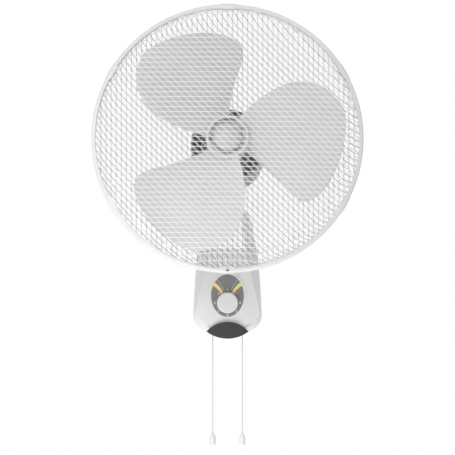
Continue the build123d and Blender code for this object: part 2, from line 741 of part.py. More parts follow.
# ---- electrical fittings in the wall box --------------------------------------------------------
parts["terminal_block"] = block((-48, -24), (-20, -back_wall_front), (20, 46))
parts["run_capacitor"] = block((24, 46), (-28, -back_wall_front), (-6, 30))
gland_bottom = -box_bottom - gland_flange
gland = rod_z(6, gland_bottom, -box_bottom + 4, *gland_place)
gland += Pos(*gland_place, gland_bottom) * extrude(RegularPolygon(9, 6), gland_flange)
gland -= rod_z(3.5, gland_bottom - 1, -box_bottom + 5, *gland_place)
parts["mains_gland"] = one_solid(gland)

# ---- wall plate ---------------------------------------------------------------------------------
plate = block((-plate_width / 2, plate_width / 2), (-plate_thickness, 0),
              (-plate_height / 2, plate_height / 2))
plate = chamfer(plate.edges().filter_by(Axis.Y), 6)
for x in (-hook_spread, hook_spread):
    plate += block((x - 6, x + 6), (-8.5, -plate_thickness), (hook_low, hook_low + 2.5))
    plate += block((x - 6, x + 6), (-8.5, -6.2), (hook_low, hook_low + 8))
for x in (-hole_spacing_x / 2, hole_spacing_x / 2):
    for z in (-hole_spacing_z / 2, hole_spacing_z / 2):
        plate -= rod_y(hole_radius, -plate_thickness - 1, 1, x, z)
parts["wall_plate"] = one_solid(plate)

os.makedirs("parts", exist_ok=True)
for name, shape in parts.items():
    export_step(shape, f"parts/{name}.step")
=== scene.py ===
import math

import bmesh
import bpy
from mathutils import Matrix, Vector


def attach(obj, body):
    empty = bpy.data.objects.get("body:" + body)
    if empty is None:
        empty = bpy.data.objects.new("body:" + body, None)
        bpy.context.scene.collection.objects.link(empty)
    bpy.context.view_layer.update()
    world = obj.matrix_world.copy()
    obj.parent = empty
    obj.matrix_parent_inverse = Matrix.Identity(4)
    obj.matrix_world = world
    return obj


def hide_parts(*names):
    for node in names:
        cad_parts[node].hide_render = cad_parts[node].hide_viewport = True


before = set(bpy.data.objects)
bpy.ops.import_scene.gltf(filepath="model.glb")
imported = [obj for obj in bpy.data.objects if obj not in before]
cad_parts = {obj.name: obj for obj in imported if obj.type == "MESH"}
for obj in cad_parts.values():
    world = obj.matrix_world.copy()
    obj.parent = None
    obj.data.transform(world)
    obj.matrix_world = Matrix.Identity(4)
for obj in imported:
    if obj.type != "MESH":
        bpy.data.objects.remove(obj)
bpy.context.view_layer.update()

print("frame loaded,", len(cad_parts), "nodes")

# the pieces' settings are in millimetres, those of the head's place, camera and studio in metres
mm = 0.001

# where the level head sits once it is carried to the tilt bolt and turned up
head = {"tilt": -10.0, "pivot": (0, -0.105, 0.154), "ring": (0, -0.160, 0.080)}
headPlace = (Matrix.Translation(head["pivot"])
             @ Matrix.Rotation(math.radians(head["tilt"]), 4, "X")
             @ Matrix.Translation(head["ring"]))

# camera, level with the middle of the picture
view = {"distance": 20.0, "ringDepth": -0.2487, "height": 0.1124, "upright": 90.0,
        "frameWidth": 0.7576, "sensor": 36.0}

lensData = bpy.data.cameras.new("photoLens")
lensData.sensor_width = view["sensor"]
lensData.lens = view["sensor"] * view["distance"] / view["frameWidth"]
camera = bpy.data.objects.new("photoCamera", lensData)
camera.location = (0, view["ringDepth"] - view["distance"], view["height"])
camera.rotation_euler = (math.radians(view["upright"]), 0, 0)
bpy.context.collection.objects.link(camera)
bpy.context.scene.camera = camera
bpy.context.scene.view_settings.view_transform = "Standard"
print("camera set")


# pull cords: straight down under the weight of their knobs, from the switch plungers
pullCord = {"spread": 24.8, "forward": 75.0, "stops": (-46, -92, -139, -186, -233), "width": 1.5,
            "smoothness": 3}


def hangCord(name, x):
    line = bpy.data.curves.new(name, "CURVE")
    line.dimensions = "3D"
    line.bevel_depth = pullCord["width"] / 2 * mm
    line.bevel_resolution = pullCord["smoothness"]
    line.use_fill_caps = True
    spline = line.splines.new("NURBS")
    spline.points.add(len(pullCord["stops"]) - 1)
    for point, z in zip(spline.points, pullCord["stops"]):
        point.co = (x * mm, -pullCord["forward"] * mm, z * mm, 1)
    spline.order_u = 3
    spline.use_endpoint_u = True
    cord = bpy.data.objects.new(name, line)
    bpy.context.collection.objects.link(cord)
    return cord


speedCord = hangCord("speedCord", -pullCord["spread"])
swingCord = hangCord("swingCord", pullCord["spread"])
print("cords hung")


# finishes, each with its grain on object coordinates
def tone(red, green, blue):
    return tuple(((shade / 255 + 0.055) / 1.055) ** 2.4 for shade in (red, green, blue))


def grey(level, warm=0.0):
    return tone(level + warm, level, level - warm)


def startFinish(name, roughness, metallic=0.0, coat=0.0):
    finish = bpy.data.materials.new(name)
    finish.use_nodes = True
    nodes = finish.node_tree.nodes
    shader = nodes["Principled BSDF"]
    shader.inputs["Roughness"].default_value = roughness
    shader.inputs["Metallic"].default_value = metallic
    shader.inputs["Coat Weight"].default_value = coat
    place = nodes.new("ShaderNodeTexCoord").outputs["Object"]
    return finish, shader, place


def addNoise(finish, place, scale, detail=3.0, stretch=None):
    nodes, links = finish.node_tree.nodes, finish.node_tree.links
    if stretch:
        mapping = nodes.new("ShaderNodeMapping")
        mapping.inputs["Scale"].default_value = stretch
        links.new(place, mapping.inputs["Vector"])
        place = mapping.outputs["Vector"]
    noise = nodes.new("ShaderNodeTexNoise")
    noise.inputs["Scale"].default_value = scale
    noise.inputs["Detail"].default_value = detail
    links.new(place, noise.inputs["Vector"])
    return noise.outputs["Fac"]


def addColour(finish, shader, factor, dark, light, low=0.3, high=0.7):
    nodes, links = finish.node_tree.nodes, finish.node_tree.links
    ramp = nodes.new("ShaderNodeValToRGB")
    for element, position, colour in zip(ramp.color_ramp.elements, (low, high), (dark, light)):
        element.position = position
        element.color = (*colour, 1)
    links.new(factor, ramp.inputs["Fac"])
    links.new(ramp.outputs["Color"], shader.inputs["Base Color"])


def addRoughness(finish, shader, factor, low, high):
    nodes, links = finish.node_tree.nodes, finish.node_tree.links
    spread = nodes.new("ShaderNodeMapRange")
    spread.inputs["To Min"].default_value = low
    spread.inputs["To Max"].default_value = high
    links.new(factor, spread.inputs["Value"])
    links.new(spread.outputs["Result"], shader.inputs["Roughness"])


def addBump(finish, shader, factor, strength, depth):
    nodes, links = finish.node_tree.nodes, finish.node_tree.links
    bump = nodes.new("ShaderNodeBump")
    bump.inputs["Strength"].default_value = strength
    bump.inputs["Distance"].default_value = depth
    links.new(factor, bump.inputs["Height"])
    links.new(bump.outputs["Normal"], shader.inputs["Normal"])


moulding = {"cloudScale": 18.0, "cloudDetail": 2.0, "grainDetail": 4.0, "grainBump": 0.5,
            "smoothest": 0.85, "roughest": 1.15}


def mouldedFinish(name, colour, roughness, grainSize=0.0006, grainDepth=0.00003, mottle=0.03,
                  coat=0.0):
    finish, shader, place = startFinish(name, roughness, coat=coat)
    cloud = addNoise(finish, place, moulding["cloudScale"], moulding["cloudDetail"])
    dark = tuple(part * (1 - mottle) for part in colour)
    light = tuple(min(part * (1 + mottle), 1) for part in colour)
    addColour(finish, shader, cloud, dark, light)
    grain = addNoise(finish, place, 1 / grainSize, moulding["grainDetail"])
    addRoughness(finish, shader, grain, roughness * moulding["smoothest"],
                 min(roughness * moulding["roughest"], 1))
    addBump(finish, shader, grain, moulding["grainBump"], grainDepth)
    return finish


turning = {"streakScale": 260.0, "streakDetail": 5.0, "streakBump": 0.35, "streakDepth": 0.00004,
           "smoothest": 0.75, "roughest": 1.3}


def metalFinish(name, colour, roughness, stretch=None, metallic=1.0, mottle=0.12):
    finish, shader, place = startFinish(name, roughness, metallic)
    streak = addNoise(finish, place, turning["streakScale"], turning["streakDetail"], stretch)
    dark = tuple(part * (1 - mottle) for part in colour)
    addColour(finish, shader, streak, dark, colour)
    addRoughness(finish, shader, streak, roughness * turning["smoothest"],
                 roughness * turning["roughest"])
    addBump(finish, shader, streak, turning["streakBump"], turning["streakDepth"])
    return finish


# ribs are darker toward their grooves, a painted shade in the creases, with a bump along the same
# waves
ribbing = {"distortion": 0.4, "paintedGrooveShade": 0.6, "low": 0.2, "high": 0.8, "bump": 0.8}


def ribbedFinish(name, colour, ridges, axis, roughness, metallic, depth):
    finish, shader, place = startFinish(name, roughness, metallic)
    nodes, links = finish.node_tree.nodes, finish.node_tree.links
    wave = nodes.new("ShaderNodeTexWave")
    wave.bands_direction = axis
    wave.inputs["Scale"].default_value = ridges
    wave.inputs["Distortion"].default_value = ribbing["distortion"]
    links.new(place, wave.inputs["Vector"])
    # the grooves' colour is darkened: painted shade
    dark = tuple(part * ribbing["paintedGrooveShade"] for part in colour)
    addColour(finish, shader, wave.outputs["Fac"], dark, colour, ribbing["low"], ribbing["high"])
    addBump(finish, shader, wave.outputs["Fac"], ribbing["bump"], depth)
    return finish


finishes = {
    "wire": mouldedFinish("wireEnamel", grey(246), 0.32, 0.002, 0.00002, 0.01, 0.2),
    # the rear guard's wires, plate and rim: the white wire enamel darkened, a painted shade for the
    # shade behind the blades
    "paintedShadeBackWire": mouldedFinish("paintedShadeBackWireEnamel", grey(198), 0.36, 0.002, 0.00002, 0.03, 0.1),
    # the rear diagonal wires: the white wire enamel darker still, a deeper painted shade
    "paintedDeepShadeWire": mouldedFinish("paintedDeepShadeWireEnamel", grey(172), 0.4, 0.002, 0.00002, 0.03, 0.1),
    "ring": mouldedFinish("ringPlastic", grey(226), 0.38),
    "blade": mouldedFinish("bladePlastic", grey(211), 0.42, 0.0009, 0.00004, 0.02),
    # the spinner: the blades' plastic made a little darker, a painted shade for the dome's shaded
    # side
    "spinner": mouldedFinish("spinnerPaintedShadePlastic", grey(201), 0.34),
    "charcoal": mouldedFinish("motorCharcoal", grey(108), 0.42, 0.0008, 0.00006, 0.08),
    "housing": mouldedFinish("housingPlastic", grey(232, 0.6), 0.36),
    "trim": mouldedFinish("trimGloss", grey(48), 0.34, 0.004, 0.00001, 0.12),
    "label": mouldedFinish("labelPrint", grey(130), 0.5, 0.0004, 0.00001, 0.03),
    "gold": mouldedFinish("goldPrint", tone(250, 224, 156), 0.45, 0.0005, 0.00001, 0.05),
    "mark": mouldedFinish("markPrint", grey(246), 0.5, 0.0005, 0.00001, 0.01),
    "inner": mouldedFinish("innerPlastic", grey(214, 3), 0.5),
    "dark": mouldedFinish("darkPlastic", grey(62), 0.5),
    "screw": metalFinish("blackenedSteel", grey(128), 0.5, metallic=0.3),
    "rubber": mouldedFinish("glandRubber", grey(38), 0.75, 0.0007, 0.00008, 0.1),
    "steel": metalFinish("turnedSteel", grey(190), 0.28, (1, 14, 1)),
    "zinc": metalFinish("zincSteel", grey(186), 0.4),
    "bronze": metalFinish("sinteredBronze", tone(176, 138, 84), 0.45),
    "core": ribbedFinish("laminations", grey(120), 900.0, "Y", 0.45, 0.8, 0.0002),
    "winding": ribbedFinish("copperWinding", tone(168, 92, 52), 500.0, "DIAGONAL", 0.35, 0.7,
                            0.0003),
    "cord": ribbedFinish("braidedCord", grey(236), 420.0, "Z", 0.7, 0.0, 0.0002),
}
print("finishes mixed")


# every CAD node that stays gets a finish and soft shading
nodeFinish = {
    # the rear guard's plate takes the darkened wire enamel, a painted shade
    "paintedShadeBackWire": ("rear_guard_plate",),
    "ring": ("guard_ring",),
    "charcoal": ("rear_guard_nut", "motor_front_cover", "motor_rear_cover", "swivel_bracket"),
    "steel": ("motor_shaft", "yaw_pin"),
    "zinc": ("motor_through_bolts", "motor_end_bell", "swing_motor", "swing_link", "tilt_bolt",
             "tilt_nut", "neck_arm", "wall_plate"),
    "bronze": ("shaft_bearings", "swivel_bush"),
    "core": ("rotor_core", "stator_core"),
    "winding": ("stator_coils",),
    "inner": ("swing_crank", "dial_shaft", "speed_switch", "swing_switch", "speed_plunger",
              "swing_plunger", "terminal_block"),
    "housing": ("neck_front_cover", "neck_rear_cover", "base_rear_housing", "base_front_housing",
                "speed_dial", "speed_pull_knob", "swing_pull_knob", "speed_cord_eyelet",
                "swing_cord_eyelet"),
    "trim": ("base_trim",),
    "label": ("control_label",),
    "dark": ("run_capacitor",),
    "screw": ("guard_ring_screw",),
    "rubber": ("mains_gland",),
}


def link(tree, start, end):
    tree.links.new(start, end)


def newTree(name, inputs=()):
    tree = bpy.data.node_groups.new(name, "GeometryNodeTree")
    tree.interface.new_socket("Geometry", in_out="INPUT", socket_type="NodeSocketGeometry")
    for label, kind in inputs:
        tree.interface.new_socket(label, in_out="INPUT", socket_type="NodeSocket" + kind)
    tree.interface.new_socket("Geometry", in_out="OUTPUT", socket_type="NodeSocketGeometry")
    return tree, tree.nodes.new("NodeGroupInput"), tree.nodes.new("NodeGroupOutput")


def calc(tree, operation, *terms):
    node = tree.nodes.new("ShaderNodeMath")
    node.operation = operation
    for place, term in enumerate(terms):
        if isinstance(term, (int, float)):
            node.inputs[place].default_value = term
        else:
            tree.links.new(term, node.inputs[place])
    return node.outputs[0]


shading = {"weld": 0.00001, "sharpAngle": 34.0}

softShading, given, result = newTree("softShading")
weld = softShading.nodes.new("GeometryNodeMergeByDistance")
weld.inputs["Distance"].default_value = shading["weld"]
forget = softShading.nodes.new("GeometryNodeRemoveAttribute")
forget.inputs["Name"].default_value = "custom_normal"
edgeAngle = softShading.nodes.new("GeometryNodeInputMeshEdgeAngle")
smoothFaces = softShading.nodes.new("GeometryNodeSetShadeSmooth")
sharpEdges = softShading.nodes.new("GeometryNodeSetShadeSmooth")
sharpEdges.domain = "EDGE"
sharpEdges.inputs["Shade Smooth"].default_value = False
isSharp = calc(softShading, "GREATER_THAN", edgeAngle.outputs["Unsigned Angle"],
               math.radians(shading["sharpAngle"]))
link(softShading, given.outputs[0], weld.inputs["Geometry"])
link(softShading, weld.outputs[0], forget.inputs["Geometry"])
link(softShading, forget.outputs[0], smoothFaces.inputs["Geometry"])
link(softShading, smoothFaces.outputs[0], sharpEdges.inputs["Geometry"])
link(softShading, isSharp, sharpEdges.inputs["Selection"])
link(softShading, sharpEdges.outputs[0], result.inputs[0])

for finishName, names in nodeFinish.items():
    for name in names:
        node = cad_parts[name]
        for materialSlot in node.material_slots:
            materialSlot.material = finishes[finishName]
        node.modifiers.new("softShading", "NODES").node_group = softShading
print("nodes dressed")


# what every piece made here goes through
def addPiece(name, mesh, body, slot, *replaced):
    piece = bpy.data.objects.new(name, mesh)
    bpy.context.collection.objects.link(piece)
    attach(piece, body)
    if replaced:
        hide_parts(*replaced)


def growMesh(name, tree, values, place=None):
    bud = bpy.data.objects.new(name + "Bud", bpy.data.meshes.new(name + "Bud"))
    bpy.context.collection.objects.link(bud)
    modifier = bud.modifiers.new("grow", "NODES")
    modifier.node_group = tree
    for item in tree.interface.items_tree:
        if item.in_out == "INPUT" and item.name in values:
            modifier[item.identifier] = values[item.name]
    bpy.context.view_layer.update()
    graph = bpy.context.evaluated_depsgraph_get()
    mesh = bpy.data.meshes.new_from_object(bud.evaluated_get(graph), depsgraph=graph)
    mesh.name = name
    bud.modifiers.clear()
    bpy.data.objects.remove(bud)
    if place:
        mesh.transform(place)
    return mesh


def meshFrom(name, points, faces):
    mesh = bpy.data.meshes.new(name)
    mesh.from_pydata([tuple(value * mm for value in point) for point in points], [], faces)
    return mesh


seam = {"weld": 1e-7, "sharpAngle": 40.0}


def tidyNormals(mesh):
    shape = bmesh.new()
    shape.from_mesh(mesh)
    bmesh.ops.remove_doubles(shape, verts=shape.verts, dist=seam["weld"])
    bmesh.ops.recalc_face_normals(shape, faces=shape.faces)
    sharpAngle = math.radians(seam["sharpAngle"])
    for edge in shape.edges:
        edge.smooth = len(edge.link_faces) != 2 or edge.calc_face_angle(0) < sharpAngle
    for face in shape.faces:
        face.smooth = True
    shape.to_mesh(mesh)
    shape.free()


# guard mesh: two layers of round wire in front and two behind, bent over one rounded dish each
guardMesh = {"pitch": 8.44, "rimRadius": 220.6, "rimHeight": 3.8, "wallLean": 17.0,
             "crownRise": 9.0, "softness": 14.0, "wire": 1.2, "sides": 8, "steps": 26,
             "plateRadius": 43.8, "weld": 0.1}
guardLayers = (
    {"piece": "frontGuardHorizontalWires", "node": "front_guard_horizontal_wires",
     "depth": 66.0, "inset": 0.0, "angle": 0, "side": -1, "plate": 0.0, "finish": "wire"},
    {"piece": "frontGuardDiagonalWires", "node": "front_guard_diagonal_wires",
     "depth": 66.0, "inset": 1.5, "angle": 45, "side": -1, "plate": 0.0, "finish": "wire"},
    # the rear vertical layer takes a darkened copy of the white wire enamel, a painted shade
    {"piece": "rearGuardVerticalWires", "node": "rear_guard_vertical_wires",
     "depth": 56.0, "inset": 0.0, "angle": 90, "side": 1, "plate": guardMesh["plateRadius"],
     "finish": "paintedShadeBackWire"},
    # the rear diagonal layer takes the darkest copy of the wire enamel, a deeper painted shade
    {"piece": "rearGuardDiagonalWires", "node": "rear_guard_diagonal_wires",
     "depth": 56.0, "inset": 1.5, "angle": 45, "side": 1, "plate": guardMesh["plateRadius"],
     "finish": "paintedDeepShadeWire"},
)

wireTree, given, result = newTree("guardWires", (
    ("Count", "Int"), ("Pitch", "Float"), ("Rim Radius", "Float"), ("Rim Height", "Float"),
    ("Wall Lean", "Float"), ("Shoulder Height", "Float"), ("Crown Rise", "Float"),
    ("Softness", "Float"), ("Side", "Float"), ("Plate Radius", "Float"), ("Wire Radius", "Float"),
    ("Sides", "Int"), ("Steps", "Int"), ("Finish", "Material")))
wanted = given.outputs

# two half wires in every row, the second one the mirror of the first
halfCount = calc(wireTree, "MULTIPLY", wanted["Count"], 2.0)
starts = wireTree.nodes.new("GeometryNodeMeshLine")
link(wireTree, halfCount, starts.inputs["Count"])
index = wireTree.nodes.new("GeometryNodeInputIndex").outputs[0]
row = calc(wireTree, "FLOOR", calc(wireTree, "DIVIDE", index, 2.0))
middle = calc(wireTree, "DIVIDE", calc(wireTree, "SUBTRACT", wanted["Count"], 1.0), 2.0)
rowHeight = calc(wireTree, "MULTIPLY", calc(wireTree, "SUBTRACT", row, middle), wanted["Pitch"])
hand = calc(wireTree, "SUBTRACT",
            calc(wireTree, "MULTIPLY", calc(wireTree, "MODULO", index, 2.0), 2.0), 1.0)
rowPlace = wireTree.nodes.new("ShaderNodeCombineXYZ")
link(wireTree, rowHeight, rowPlace.inputs["Z"])
spreadRows = wireTree.nodes.new("GeometryNodeSetPosition")
link(wireTree, starts.outputs[0], spreadRows.inputs["Geometry"])
link(wireTree, rowPlace.outputs[0], spreadRows.inputs["Position"])
halfWire = wireTree.nodes.new("GeometryNodeMeshLine")
halfWire.mode = "END_POINTS"
halfWire.inputs["Start Location"].default_value = (1, 0, 0)
halfWire.inputs["Offset"].default_value = (2, 0, 0)
link(wireTree, wanted["Steps"], halfWire.inputs["Count"])
handed = wireTree.nodes.new("ShaderNodeCombineXYZ")
link(wireTree, hand, handed.inputs["X"])
handed.inputs["Y"].default_value = 1
handed.inputs["Z"].default_value = 1
placeHalves = wireTree.nodes.new("GeometryNodeInstanceOnPoints")
link(wireTree, spreadRows.outputs[0], placeHalves.inputs["Points"])
link(wireTree, halfWire.outputs[0], placeHalves.inputs["Instance"])
link(wireTree, handed.outputs[0], placeHalves.inputs["Scale"])
halves = wireTree.nodes.new("GeometryNodeRealizeInstances")
link(wireTree, placeHalves.outputs[0], halves.inputs[0])

# along a half wire X runs from 1 to 2, which is spread between the plate and the rim
raw = wireTree.nodes.new("ShaderNodeSeparateXYZ")
link(wireTree, wireTree.nodes.new("GeometryNodeInputPosition").outputs[0], raw.inputs[0])
sign = calc(wireTree, "SIGN", raw.outputs["X"])
along = calc(wireTree, "SUBTRACT", calc(wireTree, "ABSOLUTE", raw.outputs["X"]), 1.0)
eased = calc(wireTree, "SINE", calc(wireTree, "MULTIPLY", along, math.pi / 2))
offsetSquare = calc(wireTree, "MULTIPLY", raw.outputs["Z"], raw.outputs["Z"])


def reachFrom(radius):
    square = calc(wireTree, "SUBTRACT", calc(wireTree, "MULTIPLY", radius, radius), offsetSquare)
    return calc(wireTree, "SQRT", calc(wireTree, "MAXIMUM", square, 0.0))


inner = reachFrom(wanted["Plate Radius"])
outer = reachFrom(wanted["Rim Radius"])
reach = calc(wireTree, "MULTIPLY_ADD", eased, calc(wireTree, "SUBTRACT", outer, inner), inner)

# the dish: a straight side wall up from the rim, blended into a domed crown
fromAxis = calc(wireTree, "SQRT", calc(wireTree, "MULTIPLY_ADD", reach, reach, offsetSquare))
slope = calc(wireTree, "DIVIDE",
             calc(wireTree, "SUBTRACT", wanted["Shoulder Height"], wanted["Rim Height"]),
             wanted["Wall Lean"])
wall = calc(wireTree, "MULTIPLY_ADD",
            calc(wireTree, "SUBTRACT", wanted["Rim Radius"], fromAxis), slope, wanted["Rim Height"])
share = calc(wireTree, "DIVIDE", fromAxis,
             calc(wireTree, "SUBTRACT", wanted["Rim Radius"], wanted["Wall Lean"]))
bow = calc(wireTree, "SUBTRACT", 1.0, calc(wireTree, "MULTIPLY", share, share))
crown = calc(wireTree, "MULTIPLY_ADD", bow, wanted["Crown Rise"], wanted["Shoulder Height"])
dish = calc(wireTree, "SMOOTH_MIN", wall, crown, wanted["Softness"])
wirePlace = wireTree.nodes.new("ShaderNodeCombineXYZ")
link(wireTree, calc(wireTree, "MULTIPLY", reach, sign), wirePlace.inputs["X"])
link(wireTree, calc(wireTree, "MULTIPLY", dish, wanted["Side"]), wirePlace.inputs["Y"])
link(wireTree, raw.outputs["Z"], wirePlace.inputs["Z"])
bend = wireTree.nodes.new("GeometryNodeSetPosition")
link(wireTree, halves.outputs[0], bend.inputs["Geometry"])
link(wireTree, wirePlace.outputs[0], bend.inputs["Position"])

# halves that meet become one wire, drawn round along its path
joinHalves = wireTree.nodes.new("GeometryNodeMergeByDistance")
joinHalves.inputs["Distance"].default_value = guardMesh["weld"] * mm
link(wireTree, bend.outputs[0], joinHalves.inputs["Geometry"])
paths = wireTree.nodes.new("GeometryNodeMeshToCurve")
link(wireTree, joinHalves.outputs[0], paths.inputs["Mesh"])
section = wireTree.nodes.new("GeometryNodeCurvePrimitiveCircle")
link(wireTree, wanted["Wire Radius"], section.inputs["Radius"])
link(wireTree, wanted["Sides"], section.inputs["Resolution"])
drawn = wireTree.nodes.new("GeometryNodeCurveToMesh")
drawn.inputs["Fill Caps"].default_value = True
link(wireTree, paths.outputs[0], drawn.inputs["Curve"])
link(wireTree, section.outputs[0], drawn.inputs["Profile Curve"])
wireSmooth = wireTree.nodes.new("GeometryNodeSetShadeSmooth")
link(wireTree, drawn.outputs[0], wireSmooth.inputs["Geometry"])
realWires = wireTree.nodes.new("GeometryNodeRealizeInstances")
link(wireTree, wireSmooth.outputs[0], realWires.inputs[0])
wireFinish = wireTree.nodes.new("GeometryNodeSetMaterial")
link(wireTree, realWires.outputs[0], wireFinish.inputs["Geometry"])
link(wireTree, wanted["Finish"], wireFinish.inputs["Material"])
link(wireTree, wireFinish.outputs[0], result.inputs[0])

for layer in guardLayers:
    rimRadius = guardMesh["rimRadius"] - layer["inset"]
    reachCount = int((rimRadius - guardMesh["wire"] * 2) // guardMesh["pitch"])
    wires = growMesh(layer["piece"], wireTree, {
        "Count": 2 * reachCount + 1,
        "Pitch": guardMesh["pitch"] * mm,
        "Rim Radius": rimRadius * mm,
        "Rim Height": guardMesh["rimHeight"] * mm,
        "Wall Lean": guardMesh["wallLean"] * mm,
        "Shoulder Height": (layer["depth"] - guardMesh["crownRise"] - layer["inset"]) * mm,
        "Crown Rise": guardMesh["crownRise"] * mm,
        "Softness": guardMesh["softness"] * mm,
        "Side": float(layer["side"]),
        "Plate Radius": layer["plate"] * mm,
        "Wire Radius": guardMesh["wire"] / 2 * mm,
        "Sides": guardMesh["sides"],
        "Steps": guardMesh["steps"],
        "Finish": finishes[layer["finish"]],
    }, headPlace @ Matrix.Rotation(math.radians(layer["angle"]), 4, "Y"))
    addPiece(layer["piece"], wires, "head", "enamelled_wire", layer["node"])
print("guard meshes bent")


# ring clips, each a channel round the ring with a rounded tongue in over the rim
clip = {"count": 6, "length": 29.0, "tongue": 218.2, "corner": 4.5, "outside": 226.5, "bevel": 1.8,
        "halfDepth": 7.5, "wall": 0.9, "ease": 0.4, "steps": 20, "first": 90}


def clipReach(offset):
    intoCorner = max(offset - (clip["length"] / 2 - clip["corner"]), 0)
    return clip["tongue"] + clip["corner"] - math.sqrt(max(clip["corner"]**2 - intoCorner**2, 0))


def clipMesh(name):
    edge, out = clip["outside"] - clip["bevel"], clip["outside"]
    deep, low = clip["halfDepth"], clip["halfDepth"] - clip["bevel"]
    wall, ease = clip["wall"], clip["ease"]
    points, faces = [], []
    for step in range(clip["steps"] + 1):
        share = math.sin((step / clip["steps"] - 0.5) * math.pi)
        offset = share * clip["length"] / 2
        angle = offset / clip["outside"]
        reach = clipReach(abs(offset))
        inside = ((reach, deep), (edge, deep), (out, low), (out, -low), (edge, -deep),
                  (reach, -deep))
        outside = ((reach, -deep - wall), (edge + ease, -deep - wall), (out + wall, -low - ease),
                   (out + wall, low + ease), (edge + ease, deep + wall), (reach, deep + wall))
        section = inside + outside
        for radius, along in section:
            points.append((radius * math.cos(angle), along, radius * math.sin(angle)))
    around = len(section)
    for step in range(clip["steps"]):
        here, there = step * around, (step + 1) * around
        for spot in range(around):
            after = (spot + 1) % around
            faces.append([here + spot, here + after, there + after, there + spot])
    faces.append(list(range(around)))
    faces.append([clip["steps"] * around + spot for spot in reversed(range(around))])
    return meshFrom(name, points, faces)


for number in range(clip["count"]):
    oneClip = clipMesh(f"guardClip{number + 1}")
    turn = clip["first"] + 360 / clip["count"] * number
    oneClip.transform(headPlace @ Matrix.Rotation(math.radians(turn), 4, "Y"))
    tidyNormals(oneClip)
    oneClip.materials.append(finishes["ring"])
    replaced = ("guard_clips",) if number == 0 else ()
    addPiece(f"guardClip{number + 1}", oneClip, "head", "ring_plastic", *replaced)
print("clips made")


# turned pieces: a profile of (radius, along, rounding) spun about the Y axis
def roundedProfile(corners, steps=4):
    line = []
    for place, (radius, along, rounding) in enumerate(corners):
        corner = Vector((radius, along))
        if rounding <= 0:
            line.append(corner)
            continue
        before = Vector(corners[place - 1][:2])
        after = Vector(corners[place + 1][:2])
        start = corner + (before - corner).normalized() * rounding
        end = corner + (after - corner).normalized() * rounding
        for step in range(steps + 1):
            share = step / steps
            bow = (1 - share) ** 2 * start + 2 * share * (1 - share) * corner + share**2 * end
            line.append(bow)
    return line


def spinMesh(name, corners, segments, finish, place):
    line = roundedProfile(corners)
    closed = line[0].x > 0
    points, faces, rings = [], [], []
    for corner in line:
        if corner.x <= 0:
            rings.append([len(points)] * segments)
            points.append((0, corner.y, 0))
            continue
        rings.append([len(points) + side for side in range(segments)])
        for side in range(segments):
            turn = 2 * math.pi * side / segments
            points.append((corner.x * math.cos(turn), corner.y, corner.x * math.sin(turn)))
    pairs = list(zip(rings, rings[1:]))
    if closed:
        pairs.append((rings[-1], rings[0]))
    for low, high in pairs:
        for side in range(segments):
            after = (side + 1) % segments
            face = [low[side], low[after], high[after], high[side]]
            faces.append([spot for number, spot in enumerate(face) if spot not in face[:number]])
    mesh = meshFrom(name, points, faces)
    mesh.transform(place)
    tidyNormals(mesh)
    mesh.materials.append(finishes[finish])
    return mesh


# guard rims: round wire behind the ring's lips
rim = {"radius": 221.3, "height": 3.8, "wire": 3.6, "sides": 12, "turns": 160}
guardRims = (
    {"piece": "frontGuardRim", "node": "front_guard_rim", "side": -1, "finish": "wire"},
    # the rear rim takes the darkened wire enamel, a painted shade
    {"piece": "rearGuardRim", "node": "rear_guard_rim", "side": 1, "finish": "paintedShadeBackWire"},
)
for hoop in guardRims:
    rolls = [2 * math.pi * step / rim["sides"] for step in range(rim["sides"])]
    wireRound = [(rim["radius"] + rim["wire"] / 2 * math.cos(roll),
                  hoop["side"] * rim["height"] + rim["wire"] / 2 * math.sin(roll), 0)
                 for roll in rolls]
    rimMesh = spinMesh(hoop["piece"], wireRound, rim["turns"], hoop["finish"], headPlace)
    addPiece(hoop["piece"], rimMesh, "head", "enamelled_wire", hoop["node"])
print("rims spun")


# impeller: three pitched blades on a cupped hub; a blade's outline is in (radius, degrees)
hub = {"radius": 36.0, "lip": 5.0, "front": -21.0, "back": 24.0, "web": -10.0, "wall": 2.6,
       "boss": 12.0, "bossFront": -14.0, "bossBack": 26.0, "bore": 4.1, "segments": 96}
hubCorners = (
    (hub["bore"], hub["bossFront"], 0), (hub["boss"], hub["bossFront"], 1),
    (hub["boss"], hub["web"], 1),
    (hub["radius"] - hub["lip"], hub["web"], 1.5), (hub["radius"] - hub["lip"], hub["front"], 1.2),
    (hub["radius"], hub["front"], 2.4), (hub["radius"], hub["back"], 0.6),
    (hub["radius"] - hub["wall"], hub["back"], 0.6),
    (hub["radius"] - hub["wall"], hub["web"] + hub["wall"], 1),
    (hub["boss"], hub["web"] + hub["wall"], 1), (hub["boss"], hub["bossBack"], 0.6),
    (hub["bore"], hub["bossBack"], 0))
blade = {"outline": ((30, 62), (70, 52), (111, 45.5), (150, 38), (180, 28), (196, 18),
                     (199.9, 10), (194, -3), (187, -17), (179, -29), (166, -37.5), (140, -40),
                     (100, -37), (60, -34), (28, -38)),
         "pitch": 15.0, "pitchGain": 0.17, "trim": 4.0, "thickness": 2.4, "edgeSquareness": 14,
         "rings": 10, "perSpan": 6, "count": 3}


def bladeFall(x, z):
    turn = math.atan2(z, x) - math.radians(blade["trim"])
    return -(blade["pitch"] + blade["pitchGain"] * math.hypot(x, z)) * turn


def bladeEdge():
    knots = [Vector((r * math.cos(math.radians(a)), r * math.sin(math.radians(a))))
             for r, a in blade["outline"]]
    edge = []
    for place, start in enumerate(knots):
        before, end = knots[place - 1], knots[(place + 1) % len(knots)]
        beyond = knots[(place + 2) % len(knots)]
        if place == 0:
            before = start
        if place == len(knots) - 2:
            beyond = end
        for step in range(blade["perSpan"]):
            share = step / blade["perSpan"]
            if place == len(knots) - 1:
                edge.append(start.lerp(end, share))
                continue
            edge.append(0.5 * (2 * start + (end - before) * share
                               + (2 * before - 5 * start + 4 * end - beyond) * share**2
                               + (3 * start - before - 3 * end + beyond) * share**3))
    return edge


